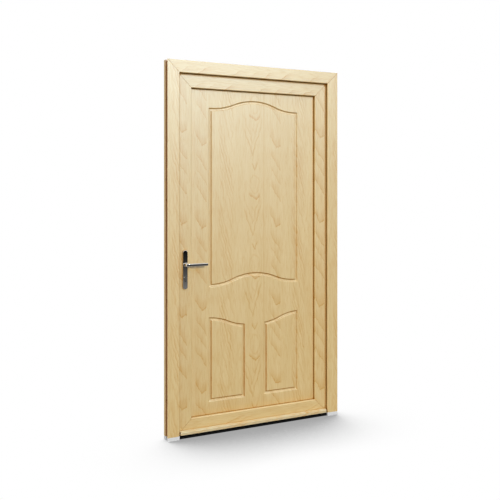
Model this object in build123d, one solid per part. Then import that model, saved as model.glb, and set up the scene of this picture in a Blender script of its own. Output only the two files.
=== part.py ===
from build123d import *
import math
import os

# A PVC entrance door: a mitred frame on a low threshold, and a mitred leaf that opens inwards.
# X runs to the right seen from outside, Y runs inwards, Z runs up. The origin is on the underside
# of the threshold, midway between the jambs and midway through the frame's depth.
# Depths are measured inwards from the frame's outer face.

# Frame profile
frame_width = 1100.0
frame_height = 2100.0
frame_depth = 60.0
frame_face = 70.0
frame_lip = 20.0
frame_lip_thickness = 12.0
wall_channel_depth = 6.0
wall_channel_width = 32.0
wall_channel_setback = 3.0
foot_height = 20.0

# Leaf profile
leaf_face = 86.0
leaf_gap = 12.0
running_gap = 5.0
seal_bead = 3.0
overlap = 20.0
overlap_thickness = 12.0
leaf_bottom = 21.5
bottom_rail_face = 82.5
panel_lip = 20.0
panel_lip_thickness = 16.0
edge_radius = 4.0
seam_width = 1.6
seam_depth = 0.8

# Panel and its routed fields
panel_thickness = 24.0
panel_gasket = 4.0
panel_edge_gap = 5.0
groove_width = 19.0
groove_depth = 6.0
groove_floor = 6.0
groove_overcut = 0.5
field_side_margin = 112.0
field_top_margin = 104.0
field_bottom_margin = 71.0
upper_field_sill = 826.0
arch_rise = 53.0
arch_shoulder = 22.0
lower_field_height = 480.0
lower_field_drop = 54.0
lower_field_spacing = 125.0
lower_drop_past_edge = 27.5
lower_curve_past_edge = 4.0

# Threshold and weather bar
threshold_setback = 10.0
threshold_depth = 62.0
threshold_height = 16.0
threshold_nose = 5.0
tread_width = 30.0
tread_thickness = 2.0
tread_rib_count = 5
tread_rib_depth = 0.8
threshold_seal_width = 8.0
weather_bar_height = 21.5
weather_bar_reach = 18.0
weather_bar_top_drop = 6.0
weather_bar_drip = 3.0
weather_bar_nose_radius = 2.5
weather_bar_end_gap = 7.0
end_cap_thickness = 3.0

# Lock and handle
handle_height = 965.0
backset = 45.0
cylinder_drop = 72.0
plate_width = 28.0
plate_above = 80.0
plate_below = 136.0
plate_thickness = 12.0
plate_corner = 12.0
plate_edge = 2.5
lever_reach = 123.0
lever_height = 17.0
lever_thickness = 12.0
lever_tip_height = 13.0
lever_tip_thickness = 8.0
lever_bevel = 3.0
lever_nose = 3.0
lever_standoff = 32.0
lever_bend = 16.0
lever_collar_radius = 11.0
lever_collar_height = 4.0
spindle_size = 8.0
spindle_play = 0.1
spindle_hole_radius = 9.0
cylinder_radius = 8.5
cylinder_web = 10.0
cylinder_total = 33.0
cylinder_proud = 2.0
turning_play = 0.3
lock_play = 0.3
faceplate_length = 1640.0
faceplate_width = 24.0
faceplate_thickness = 3.0
bolt_height = 24.0
bolt_width = 12.0
bolt_length = 32.0
bolt_proud = 2.0
latch_above_handle = 24.0
hook_height = 40.0
hook_spread = 640.0
strike_thickness = 3.0
strike_border = 34.0
strike_pocket_depth = 16.0

# Hinges
hinge_from_bottom = 247.0
hinge_from_top = 158.0
hinge_height = 112.0
hinge_radius = 11.0
hinge_pin_radius = 5.0
hinge_pin_play = 0.05
hinge_washer_gap = 0.3
hinge_cap = 6.0
hinge_axis_out = 9.0
hinge_axis_in = 16.0
hinge_plate = 5.0
hinge_leaf_plate_width = 52.0
hinge_foot_width = 13.0
hinge_foot_out = 7.0
hinge_bevel = 1.5
hinge_edge_margin = 3.0

# Fixings through the frame
fixing_radius = 3.75
fixing_depth = 30.0
fixing_end = 220.0
fixing_inner_spacing = 550.0
head_fixing_spacing = 600.0

# Places worked out from the sizes above
half_width = frame_width / 2
outer_face = -frame_depth / 2
rebate = frame_face - frame_lip
leaf_recess = frame_lip_thickness + seal_bead + running_gap
overlap_front = frame_depth + running_gap + seal_bead
leaf_back = overlap_front + overlap_thickness
leaf_middle = (leaf_recess + leaf_back) / 2
leaf_half = half_width - rebate - leaf_gap
leaf_top = frame_height - rebate - leaf_gap
panel_half = leaf_half - leaf_face
panel_top = leaf_top - leaf_face
panel_bottom = leaf_bottom + bottom_rail_face
panel_front = leaf_recess + panel_lip_thickness + panel_gasket
panel_back = panel_front + panel_thickness
bead_front = panel_back + panel_gasket
bead_half = panel_half + panel_lip
bead_top = panel_top + panel_lip
bead_bottom = panel_bottom - panel_lip
handle_x = -leaf_half + backset
hinge_x = leaf_half + overlap + hinge_axis_out
hinge_depth = leaf_back + hinge_axis_in
hinge_bottom = leaf_bottom + hinge_from_bottom
hinge_top = leaf_top - hinge_from_top
hinge_levels = (hinge_bottom, (hinge_bottom + hinge_top) / 2, hinge_top)
far = 2 * (frame_width + frame_height)


def at_depth(depth):
    """Plane facing outwards at a depth, with its own x and y along X and Z."""
    return Plane(origin=(0, outer_face + depth, 0), x_dir=(1, 0, 0), z_dir=(0, -1, 0))


def slab(points, front, back):
    """Solid with this outline, seen from outside, between two depths."""
    face = at_depth(back) * Polygon(*points, align=None)
    return extrude(face, amount=back - front, dir=(0, -1, 0))


def block(x0, x1, d0, d1, z0, z1):
    """Box between two X values, two depths and two heights."""
    return slab([(x0, z0), (x1, z0), (x1, z1), (x0, z1)], d0, d1)


def upright_pin(x, depth, radius, z0, z1):
    """Vertical cylinder between two heights."""
    base = Plane(origin=(x, outer_face + depth, z0))
    return extrude(base * Circle(radius), amount=z1 - z0)


def deep_pin(x, z, radius, d0, d1):
    """Cylinder running inwards between two depths."""
    return extrude(at_depth(d1) * Pos(x, z) * Circle(radius), amount=d1 - d0)


def rounded(section, corners, radius):
    """Section with the corners nearest these points rounded."""
    picked = [section.vertices().sort_by_distance((x, y, 0))[0] for x, y in corners]
    return fillet(picked, radius)


def mirrored(shape):
    """The same piece on the other side of the door."""
    return mirror(shape, about=Plane.YZ)


def member(section, start, across, along, outline):
    """Profile carried along one edge of the door and cut to its mitred outline."""
    bar = extrude(Plane(origin=start, x_dir=across, z_dir=along) * section, amount=far)
    return bar & slab(outline, -far, far)


def seam(start, end, depth, inwards):
    """V groove along a mitre line seen from outside, cut into a face at a depth."""
    run = Vector(end[0] - start[0], 0, end[1] - start[1]).normalized()
    origin = Vector(start[0], outer_face + depth, start[1]) - run * seam_width
    side = Plane(origin=origin, x_dir=(0, inwards, 0), z_dir=run)
    length = math.dist(start, end) + 2 * seam_width
    section = Polygon((-seam_depth, -seam_width), (seam_depth, 0), (-seam_depth, seam_width), align=None)
    return extrude(side * section, amount=length, dir=run)


# Frame profile: across from the wall face, then depth
def frame_section():
    channel_end = wall_channel_setback + wall_channel_width
    points = [
        (0, 0),
        (frame_face, 0),
        (frame_face, frame_lip_thickness),
        (rebate, frame_lip_thickness),
        (rebate, frame_depth),
        (0, frame_depth),
        (0, channel_end),
        (wall_channel_depth, channel_end),
        (wall_channel_depth, wall_channel_setback),
        (0, wall_channel_setback),
    ]
    section = Polygon(*points, align=None)
    return rounded(section, [(frame_face, 0), (rebate, frame_depth)], edge_radius)


# Leaf profile: across from the leaf's edge, negative out to the overlap, then depth
hardware_groove = faceplate_width + 2 * lock_play


def leaf_section():
    lip_back = leaf_recess + panel_lip_thickness
    points = [
        (0, leaf_recess),
        (leaf_face, leaf_recess),
        (leaf_face, lip_back),
        (leaf_face - panel_lip, lip_back),
        (leaf_face - panel_lip, leaf_back),
        (-overlap, leaf_back),
        (-overlap, overlap_front),
        (0, overlap_front),
        (0, leaf_middle + hardware_groove / 2),
        (faceplate_thickness, leaf_middle + hardware_groove / 2),
        (faceplate_thickness, leaf_middle - hardware_groove / 2),
        (0, leaf_middle - hardware_groove / 2),
    ]
    section = Polygon(*points, align=None)
    return rounded(section, [(leaf_face, leaf_recess), (-overlap, leaf_back)], edge_radius)


# Bead profile: across from the foot of the panel rebate, then depth
def bead_section():
    points = [(0, bead_front), (panel_lip, bead_front), (panel_lip, leaf_back), (0, leaf_back)]
    section = Polygon(*points, align=None)
    return rounded(section, [(panel_lip, leaf_back)], edge_radius)


def fixing_hole(x, z):
    """Screw hole through a jamb, from the rebate to the wall."""
    side = Plane(origin=(x, outer_face + fixing_depth, z), z_dir=(1, 0, 0))
    return extrude(side * Circle(fixing_radius), amount=frame_face, both=True)


fixing_middle = frame_height / 2
fixing_levels = [
    fixing_end,
    fixing_middle - fixing_inner_spacing / 2,
    fixing_middle + fixing_inner_spacing / 2,
    frame_height - fixing_end,
]


def frame_seams():
    """Weld seams at the lock-side corner of the frame, outside and inside."""
    outer = (-half_width, frame_height)
    lip = (frame_face - half_width, frame_height - frame_face)
    inner = (rebate - half_width, frame_height - rebate)
    return seam(outer, lip, 0, 1) + seam(outer, inner, frame_depth, -1)


def frame_jamb():
    inner = half_width - frame_face
    outline = [
        (-half_width, foot_height),
        (-inner, foot_height),
        (-inner, frame_height - frame_face),
        (-half_width, frame_height),
    ]
    start = (-half_width, outer_face, 0)
    jamb = member(frame_section(), start, (1, 0, 0), (0, 0, 1), outline)
    for level in fixing_levels:
        jamb -= fixing_hole(-half_width, level)
    return jamb - frame_seams()


def frame_head():
    inner = half_width - frame_face
    outline = [
        (-half_width, frame_height),
        (-inner, frame_height - frame_face),
        (inner, frame_height - frame_face),
        (half_width, frame_height),
    ]
    start = (-far / 2, outer_face, frame_height)
    head = member(frame_section(), start, (0, 0, -1), (1, 0, 0), outline)
    for side in (-1, 1):
        spot = (side * head_fixing_spacing / 2, outer_face + fixing_depth, frame_height)
        head -= extrude(Plane(origin=spot) * Circle(fixing_radius), amount=frame_face, both=True)
    return head - frame_seams() - mirrored(frame_seams())


def frame_gasket():
    """Seal bead around the back of the frame's lip, on three sides."""
    outer = half_width - rebate - seal_bead
    inner = half_width - frame_face + seal_bead
    top = frame_height - rebate - seal_bead
    under = frame_height - frame_face + seal_bead
    points = [
        (-outer, foot_height),
        (-inner, foot_height),
        (-inner, under),
        (inner, under),
        (inner, foot_height),
        (outer, foot_height),
        (outer, top),
        (-outer, top),
    ]
    return slab(points, frame_lip_thickness, frame_lip_thickness + seal_bead)


def side_foot():
    """Plastic block that carries a jamb, with the wall channel running on down its side."""
    foot = block(-half_width, frame_face - half_width, 0, frame_depth, 0, foot_height)
    channel_end = wall_channel_setback + wall_channel_width
    return foot - block(-half_width, wall_channel_depth - half_width, wall_channel_setback,
                        channel_end, 0, foot_height)


threshold_half = half_width - frame_face
threshold_back = threshold_setback + threshold_depth
tread_front = threshold_back - tread_width


def along_threshold(section, half_length):
    """Section in depth and height carried between the jambs."""
    across = Plane(origin=(-half_length, outer_face, 0), x_dir=(0, 1, 0), z_dir=(1, 0, 0))
    return extrude(across * section, amount=2 * half_length, dir=(1, 0, 0))


def strip_along(points):
    """Straight-sided strip between the jambs."""
    return along_threshold(Polygon(*points, align=None), threshold_half)


def threshold():
    points = [
        (threshold_setback, 0),
        (threshold_back, 0),
        (threshold_back, threshold_height),
        (threshold_setback + 2 * threshold_nose, threshold_height),
        (threshold_setback, threshold_height - threshold_nose),
    ]
    return strip_along(points)


def threshold_tread():
    """Metal strip with shallow grip ribs behind the seal."""
    top = threshold_height + tread_thickness
    strip = strip_along([
        (tread_front, threshold_height),
        (threshold_back, threshold_height),
        (threshold_back, top),
        (tread_front, top),
    ])
    pitch = tread_width / (tread_rib_count + 1)
    for index in range(tread_rib_count):
        middle = tread_front + (index + 1) * pitch
        valley = (middle, top - tread_rib_depth)
        strip -= strip_along([(middle - pitch / 4, top), (middle + pitch / 4, top), valley])
    return strip


def threshold_seal():
    front = tread_front - threshold_seal_width
    top = threshold_height + tread_thickness
    points = [
        (front, threshold_height),
        (tread_front, threshold_height),
        (tread_front, top),
        (front + threshold_seal_width / 4, top),
    ]
    return strip_along(points)


# Lock places, as height of the middle and height of the bolt
latch_level = handle_height + latch_above_handle
dead_level = handle_height - cylinder_drop
bolt_places = {
    "latch_bolt": (latch_level, bolt_height),
    "dead_bolt": (dead_level, bolt_height),
    "upper_hook_bolt": (handle_height + hook_spread, hook_height),
    "lower_hook_bolt": (handle_height - hook_spread, hook_height),
}
strike_x = rebate - half_width


def strike_opening(level, height):
    """Pocket in the lock jamb for one bolt."""
    reach = height / 2 + bolt_width / 2
    back = strike_x - strike_pocket_depth
    return block(back, strike_x + strike_thickness, leaf_middle - bolt_width * 0.75,
                 leaf_middle + bolt_width * 0.75, level - reach, level + reach)


def strike_plate(names):
    """Keeper on the rebate face with an opening for each bolt."""
    levels = [bolt_places[name][0] for name in names]
    half = faceplate_width / 2
    plate = block(strike_x, strike_x + strike_thickness, leaf_middle - half, leaf_middle + half,
                  min(levels) - bolt_height - strike_border, max(levels) + bolt_height + strike_border)
    plate = fillet(plate.edges().filter_by(Axis.X), half / 2)
    for name in names:
        plate -= strike_opening(*bolt_places[name])
    return plate


# Leaf members
leaf_outline_top = leaf_top + overlap
overlap_half = leaf_half + overlap
mitre_foot = panel_half + bottom_rail_face


def lock_bolt(name):
    """Bolt drawn back into the leaf, its nose just proud of the faceplate."""
    level, height = bolt_places[name]
    nose = -leaf_half - bolt_proud
    half = bolt_width / 2
    bolt = block(nose, nose + bolt_length, leaf_middle - half, leaf_middle + half,
                 level - height / 2, level + height / 2)
    if name == "latch_bolt":
        edge = bolt.edges().filter_by(Axis.Z).group_by(Axis.X)[0].sort_by(Axis.Y)[-1]
        bolt = chamfer(edge, bolt_proud, half)
    return bolt


def bolt_pocket(name):
    level, height = bolt_places[name]
    half = bolt_width / 2 + lock_play
    return block(-leaf_half - overlap, -leaf_half - bolt_proud + bolt_length + lock_play,
                 leaf_middle - half, leaf_middle + half,
                 level - height / 2 - lock_play, level + height / 2 + lock_play)


def lock_faceplate():
    """Steel strip in the stile's hardware groove, open at each bolt."""
    half = faceplate_width / 2
    reach = faceplate_length / 2
    plate = block(-leaf_half, -leaf_half + faceplate_thickness, leaf_middle - half,
                  leaf_middle + half, handle_height - reach, handle_height + reach)
    for name in bolt_places:
        plate -= bolt_pocket(name)
    return plate


def cylinder_profile(play):
    """Round plug with a narrow web hanging below it."""
    plug = Circle(cylinder_radius + play)
    drop = cylinder_total - cylinder_radius
    web_radius = cylinder_web / 2
    web = Pos(0, -(drop - web_radius) / 2) * Rectangle(cylinder_web + 2 * play, drop - web_radius)
    foot = Pos(0, web_radius - drop) * Circle(web_radius + play)
    return Pos(handle_x, handle_height - cylinder_drop) * (plug + web + foot)


def through_cylinder(play, d0, d1):
    return extrude(at_depth(d1) * cylinder_profile(play), amount=d1 - d0)


def leaf_top_seams():
    """Weld seams at the lock-side top corner of the leaf, outside and inside."""
    edge = (-leaf_half, leaf_top)
    lip = (-panel_half, panel_top)
    rim = (-overlap_half, leaf_outline_top)
    bead = (-bead_half, bead_top)
    return seam(edge, lip, leaf_recess, 1) + seam(rim, bead, leaf_back, -1)


def leaf_bottom_seams():
    """Weld seams at the lock-side bottom corner of the leaf, outside and inside."""
    foot = (-mitre_foot, leaf_bottom)
    lip = (-panel_half, panel_bottom)
    bead = (-bead_half, bead_bottom)
    return seam(foot, lip, leaf_recess, 1) + seam(foot, bead, leaf_back, -1)


def leaf_stile():
    outline = [
        (-overlap_half, leaf_bottom),
        (-mitre_foot, leaf_bottom),
        (-panel_half, panel_bottom),
        (-panel_half, panel_top),
        (-overlap_half, leaf_outline_top),
    ]
    start = (-leaf_half, outer_face, 0)
    stile = member(leaf_section(), start, (1, 0, 0), (0, 0, 1), outline)
    return stile - leaf_top_seams() - leaf_bottom_seams()


def lock_stile():
    """Stile with the pockets for the bolts and the holes for cylinder and spindle."""
    stile = leaf_stile()
    for name in bolt_places:
        stile -= bolt_pocket(name)
    stile -= through_cylinder(lock_play, leaf_recess, leaf_back)
    stile -= deep_pin(handle_x, handle_height, spindle_hole_radius, leaf_recess, leaf_back)
    return stile


def top_rail():
    outline = [
        (-overlap_half, leaf_outline_top),
        (-panel_half, panel_top),
        (panel_half, panel_top),
        (overlap_half, leaf_outline_top),
    ]
    rail = member(leaf_section(), (-far / 2, outer_face, leaf_top), (0, 0, -1), (1, 0, 0), outline)
    return rail - leaf_top_seams() - mirrored(leaf_top_seams())


def bottom_rail():
    """Same profile trimmed flat along the bottom, where the overlap is taken off."""
    outline = [
        (-mitre_foot, leaf_bottom),
        (mitre_foot, leaf_bottom),
        (panel_half, panel_bottom),
        (-panel_half, panel_bottom),
    ]
    start = (far / 2, outer_face, panel_bottom - leaf_face)
    rail = member(leaf_section(), start, (0, 0, 1), (-1, 0, 0), outline)
    return rail - leaf_bottom_seams() - mirrored(leaf_bottom_seams())


def side_bead():
    outline = [
        (-bead_half, bead_bottom),
        (-panel_half, panel_bottom),
        (-panel_half, panel_top),
        (-bead_half, bead_top),
    ]
    return member(bead_section(), (-bead_half, outer_face, 0), (1, 0, 0), (0, 0, 1), outline)


def top_bead():
    outline = [
        (-bead_half, bead_top),
        (-panel_half, panel_top),
        (panel_half, panel_top),
        (bead_half, bead_top),
    ]
    return member(bead_section(), (-far / 2, outer_face, bead_top), (0, 0, -1), (1, 0, 0), outline)


def bottom_bead():
    outline = [
        (-bead_half, bead_bottom),
        (bead_half, bead_bottom),
        (panel_half, panel_bottom),
        (-panel_half, panel_bottom),
    ]
    return member(bead_section(), (far / 2, outer_face, bead_bottom), (0, 0, 1), (-1, 0, 0), outline)


def gasket_ring(depth):
    """Seal all round one face of the panel, set a little behind the lip's edge."""
    reach = panel_lip - panel_edge_gap
    outer = block(-panel_half - reach, panel_half + reach, depth, depth + panel_gasket,
                  panel_bottom - reach, panel_top + reach)
    inset = edge_radius / 4
    return outer - block(-panel_half - inset, panel_half + inset, depth, depth + panel_gasket,
                         panel_bottom - inset, panel_top + inset)


def leaf_gasket():
    """Seal bead on the front of the leaf's overlap, on three sides."""
    outer = overlap_half - seal_bead
    inner = leaf_half + leaf_gap
    top = leaf_outline_top - seal_bead
    under = leaf_top + leaf_gap
    points = [
        (-outer, leaf_bottom),
        (-inner, leaf_bottom),
        (-inner, under),
        (inner, under),
        (inner, leaf_bottom),
        (outer, leaf_bottom),
        (outer, top),
        (-outer, top),
    ]
    return slab(points, overlap_front - seal_bead, overlap_front)


# Routed fields of the panel
class Ogee:
    """Curve of two equal arcs, level at both ends, moved down by an inset."""

    def __init__(self, start, end, inset):
        rise = end[1] - start[1]
        turn = math.copysign(1, rise)
        half_run = abs(end[0] - start[0]) / 2
        radius = (half_run**2 + (rise / 2) ** 2) / abs(rise)
        self.turn = turn
        self.centre = (Vector(start[0], start[1] + turn * radius), Vector(end[0], end[1] - turn * radius))
        self.radius = (radius + turn * inset, radius - turn * inset)
        self.start = Vector(start[0], start[1] - inset)
        self.end = Vector(end[0], end[1] - inset)
        span = self.centre[1] - self.centre[0]
        self.middle = self.centre[0] + span.normalized() * self.radius[0]

    def point(self, index, x):
        """Point of one arc at this x."""
        centre = self.centre[index]
        height = math.sqrt(self.radius[index] ** 2 - (x - centre.X) ** 2)
        side = self.turn if index else -self.turn
        return Vector(x, centre.Y + side * height)

    def clip(self, first, last):
        """Keep only the stretch between two x values."""
        self.start = self.point(0, first)
        self.end = self.point(1, last)

    def arc(self, index, first, last):
        centre = self.centre[index]
        spoke = ((first - centre) + (last - centre)).normalized() * self.radius[index]
        return ThreePointArc(first, centre + spoke, last)

    def edges(self):
        return [self.arc(0, self.start, self.middle), self.arc(1, self.middle, self.end)]


field_half = panel_half - field_side_margin
field_top = panel_top - field_top_margin
lower_bottom = panel_bottom + field_bottom_margin
lower_top = lower_bottom + lower_field_height
lower_inner = lower_field_spacing / 2


def arched_edge(level, inset):
    """Two ogees that rise to the middle, with the straight runs at both ends."""
    shoulder = field_half - arch_shoulder
    left = Ogee((-shoulder, level), (0, level + arch_rise), inset)
    right = Ogee((shoulder, level), (0, level + arch_rise), inset)
    return left, right


def upper_field(inset):
    side = field_half - inset
    top_left, top_right = arched_edge(field_top, inset)
    low_left, low_right = arched_edge(upper_field_sill, -inset)
    corners = [
        Vector(-side, low_left.start.Y),
        Vector(-side, top_left.start.Y),
        Vector(side, top_right.start.Y),
        Vector(side, low_right.start.Y),
    ]
    return [
        Line(corners[0], corners[1]),
        Line(corners[1], top_left.start),
        *top_left.edges(),
        *top_right.edges(),
        Line(top_right.start, corners[2]),
        Line(corners[2], corners[3]),
        Line(corners[3], low_right.start),
        *low_right.edges(),
        *low_left.edges(),
        Line(low_left.start, corners[0]),
    ]


def lower_field(inset):
    outer = -field_half + inset
    inner = -lower_inner - inset
    floor = lower_bottom + inset
    start = (-field_half - lower_curve_past_edge, lower_top)
    end = (-lower_inner + lower_drop_past_edge, lower_top - lower_field_drop)
    top = Ogee(start, end, inset)
    top.clip(outer, inner)
    return [
        Line((outer, floor), top.start),
        *top.edges(),
        Line(top.end, (inner, floor)),
        Line((inner, floor), (outer, floor)),
    ]


def field_face(field, inset, depth):
    return at_depth(depth) * make_face(Curve() + field(inset))


def field_groove(field):
    """Groove with sloping flanks and a flat floor that follows a field's outline, cut from outside."""
    flank = (groove_width - groove_floor) / 2
    spread = groove_overcut * flank / groove_depth
    start = panel_front - groove_overcut
    floor = panel_front + groove_depth
    outer = loft([field_face(field, -spread, start), field_face(field, flank, floor)], ruled=True)
    island = loft([field_face(field, groove_width + spread, start),
                   field_face(field, groove_width - flank, floor)], ruled=True)
    return outer - island


def door_panel():
    """Panel with the same three routed fields on both faces."""
    reach = panel_lip - panel_edge_gap
    panel = block(-panel_half - reach, panel_half + reach, panel_front, panel_back,
                  panel_bottom - reach, panel_top + reach)
    small = field_groove(lower_field)
    grooves = [field_groove(upper_field), small, mirrored(small)]
    middle = Plane(origin=(0, outer_face + (panel_front + panel_back) / 2, 0), z_dir=(0, 1, 0))
    for groove in grooves:
        panel = panel - groove - mirror(groove, about=middle)
    return panel


def weather_bar_section(hollow):
    """Bar in depth and height: a sloping top, a rounded nose and a drip edge, hollow below or not."""
    back = leaf_recess
    front = back - weather_bar_reach
    top = leaf_bottom + weather_bar_height
    nose = top - weather_bar_top_drop
    points = [(back, top), (front, nose), (front, leaf_bottom)]
    if hollow:
        points += [
            (front + weather_bar_drip, leaf_bottom),
            (front + 2 * weather_bar_drip, leaf_bottom + weather_bar_drip),
            (back, leaf_bottom + weather_bar_drip),
        ]
    else:
        points.append((back, leaf_bottom))
    return rounded(Polygon(*points, align=None), [(front, nose)], weather_bar_nose_radius)


weather_bar_half = half_width - frame_face - weather_bar_end_gap


def weather_bar():
    return along_threshold(weather_bar_section(True), weather_bar_half - end_cap_thickness)


def weather_bar_caps():
    """Two end caps that close the hollow under the bar."""
    whole = along_threshold(weather_bar_section(False), weather_bar_half)
    gap = weather_bar_half - end_cap_thickness
    return whole - block(-gap, gap, 0, leaf_recess, 0, frame_height)


# Handle
plate_front = leaf_recess - plate_thickness


def handle_plate():
    """Long backplate with the cylinder's cut-out and the round seat for the lever."""
    middle = handle_height + (plate_above - plate_below) / 2
    outline = RectangleRounded(plate_width, plate_above + plate_below, plate_corner)
    plate = extrude(at_depth(leaf_recess) * Pos(handle_x, middle) * outline, amount=plate_thickness)
    plate = chamfer(plate.faces().sort_by(Axis.Y)[0].edges(), plate_edge)
    plate -= through_cylinder(lock_play, plate_front, leaf_recess)
    seat = lever_collar_radius + turning_play
    return plate - deep_pin(handle_x, handle_height, seat, plate_front, leaf_recess)


def lock_cylinder():
    inside = leaf_back + plate_thickness + cylinder_proud
    return through_cylinder(0, plate_front - cylinder_proud, inside)


def bevelled(width, height):
    """Oblong with bevelled corners, the lever's section."""
    x = width / 2
    y = height / 2
    cut = lever_bevel
    points = [(x, y - cut), (x - cut, y), (cut - x, y), (-x, y - cut)]
    return Polygon(*points, *[(-a, -b) for a, b in points], align=None)


def handle_lever():
    """Slim lever: a collar in the plate, a neck, a quarter bend and an arm that tapers to its tip."""
    arm_depth = plate_front - lever_standoff
    collar_front = plate_front - lever_collar_height
    bend_depth = arm_depth + lever_bend
    root = bevelled(lever_thickness, lever_height)
    tip = bevelled(lever_tip_thickness, lever_tip_height)
    nose = tip.scale(1 - lever_nose / lever_tip_height)
    neck_plane = at_depth(bend_depth) * Pos(handle_x, handle_height)
    lever = deep_pin(handle_x, handle_height, lever_collar_radius, collar_front, leaf_recess)
    lever += extrude(neck_plane * root, amount=leaf_recess - bend_depth, dir=(0, 1, 0))
    pivot = Axis((handle_x + lever_bend, outer_face + bend_depth, 0), (0, 0, 1))
    lever += revolve(neck_plane * root, axis=pivot, revolution_arc=90)

    def across_arm(reach, section):
        place = (handle_x + reach, outer_face + arm_depth, handle_height)
        return Plane(origin=place, x_dir=(0, 1, 0), z_dir=(1, 0, 0)) * section

    lever += loft([across_arm(lever_bend, root), across_arm(lever_reach - lever_nose, tip)], ruled=True)
    lever += loft([across_arm(lever_reach - lever_nose, tip), across_arm(lever_reach, nose)], ruled=True)
    socket = spindle_size / 2 + spindle_play
    return lever - block(handle_x - socket, handle_x + socket, collar_front, leaf_recess,
                         handle_height - socket, handle_height + socket)


def inside(shape):
    """The same piece on the inner side of the leaf."""
    return mirror(shape, about=Plane(origin=(0, outer_face + leaf_middle, 0), z_dir=(0, 1, 0)))


def handle_spindle():
    half = spindle_size / 2
    reach = leaf_middle - plate_front + lever_collar_height - spindle_play
    return block(handle_x - half, handle_x + half, leaf_middle - reach, leaf_middle + reach,
                 handle_height - half, handle_height + half)


# Hinges
def plan(x, depth):
    """Point of a level section through the hinge."""
    return (x, outer_face + depth)


def knuckle_section(foot_x, foot_depth):
    """Barrel joined by straight flanks to a foot of the stated corner."""
    barrel = Pos(*plan(hinge_x, hinge_depth)) * Circle(hinge_radius)
    corners = [plan(foot_x, foot_depth), plan(foot_x + hinge_foot_width, foot_depth)]
    ends = [plan(foot_x + hinge_foot_width, foot_depth + hinge_plate), plan(foot_x, foot_depth + hinge_plate)]
    foot = Polygon(*corners, *ends, align=None)
    return make_hull(barrel.edges() + foot.edges())


def knuckle(foot_x, foot_depth, low, high, closed_end):
    """Bored barrel and its flanks between two heights, bevelled at the closed end."""
    body = extrude(Plane(origin=(0, 0, low)) * knuckle_section(foot_x, foot_depth), amount=high - low)
    ends = body.faces().sort_by(Axis.Z)
    outer_end = ends[-1] if closed_end > 0 else ends[0]
    body = chamfer(outer_end.edges(), hinge_bevel)
    bore_low = low + hinge_cap if closed_end < 0 else low
    bore_high = high - hinge_cap if closed_end > 0 else high
    bore = hinge_pin_radius + hinge_pin_play
    return body - upright_pin(hinge_x, hinge_depth, bore, bore_low, bore_high)


def hinge_frame_half(level):
    """Lower knuckle, with a plate that stands on the frame's inner face."""
    low = level - hinge_height / 2
    foot_x = hinge_x + hinge_foot_out
    plate = block(foot_x, half_width - hinge_edge_margin, frame_depth, frame_depth + hinge_plate, low, level)
    plate = chamfer(plate.faces().sort_by(Axis.Y)[-1].edges(), hinge_bevel)
    return knuckle(foot_x, frame_depth, low, level, -1) + plate


def hinge_leaf_half(level):
    """Upper knuckle, with a plate that lies on the leaf's inner face."""
    low = level + hinge_washer_gap
    high = level + hinge_height / 2
    edge = overlap_half - hinge_edge_margin
    plate = block(edge - hinge_leaf_plate_width, edge, leaf_back, leaf_back + hinge_plate, low, high)
    plate = chamfer(plate.faces().sort_by(Axis.Y)[-1].edges(), hinge_bevel)
    return knuckle(edge - hinge_foot_width, leaf_back, low, high, 1) + plate


def hinge_pin(level):
    low = level - hinge_height / 2 + hinge_cap
    high = level + hinge_height / 2 - hinge_cap - hinge_washer_gap
    return upright_pin(hinge_x, hinge_depth, hinge_pin_radius, low, high)


def lock_jamb():
    jamb = frame_jamb()
    for level, height in bolt_places.values():
        jamb -= strike_opening(level, height)
    return jamb


pieces = {
    "lock_jamb": lock_jamb(),
    "hinge_jamb": mirrored(frame_jamb()),
    "frame_head": frame_head(),
    "frame_gasket": frame_gasket(),
    "lock_side_foot": side_foot(),
    "hinge_side_foot": mirrored(side_foot()),
    "threshold": threshold(),
    "threshold_tread": threshold_tread(),
    "threshold_seal": threshold_seal(),
    "latch_strike": strike_plate(["latch_bolt", "dead_bolt"]),
    "upper_strike": strike_plate(["upper_hook_bolt"]),
    "lower_strike": strike_plate(["lower_hook_bolt"]),
    "lock_stile": lock_stile(),
    "hinge_stile": mirrored(leaf_stile()),
    "top_rail": top_rail(),
    "bottom_rail": bottom_rail(),
    "door_panel": door_panel(),
    "lock_side_bead": side_bead(),
    "hinge_side_bead": mirrored(side_bead()),
    "top_bead": top_bead(),
    "bottom_bead": bottom_bead(),
    "outer_panel_gasket": gasket_ring(panel_front - panel_gasket),
    "inner_panel_gasket": gasket_ring(panel_back),
    "leaf_gasket": leaf_gasket(),
    "weather_bar": weather_bar(),
    "weather_bar_caps": weather_bar_caps(),
    "lock_faceplate": lock_faceplate(),
    "lock_cylinder": lock_cylinder(),
    "outer_handle_plate": handle_plate(),
    "inner_handle_plate": inside(handle_plate()),
    "outer_lever": handle_lever(),
    "inner_lever": inside(handle_lever()),
    "handle_spindle": handle_spindle(),
}
for name in bolt_places:
    pieces[name] = lock_bolt(name)
for place, level in zip(("bottom", "middle", "top"), hinge_levels):
    pieces[f"{place}_hinge_frame_half"] = hinge_frame_half(level)
    pieces[f"{place}_hinge_leaf_half"] = hinge_leaf_half(level)
pieces["hinge_pins"] = Compound([hinge_pin(level) for level in hinge_levels])

os.makedirs("parts", exist_ok=True)
for name, shape in pieces.items():
    export_step(shape, f"parts/{name}.step")
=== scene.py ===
import math
import bmesh
import bpy
import numpy as np
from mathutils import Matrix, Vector
from mathutils.geometry import tessellate_polygon


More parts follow.
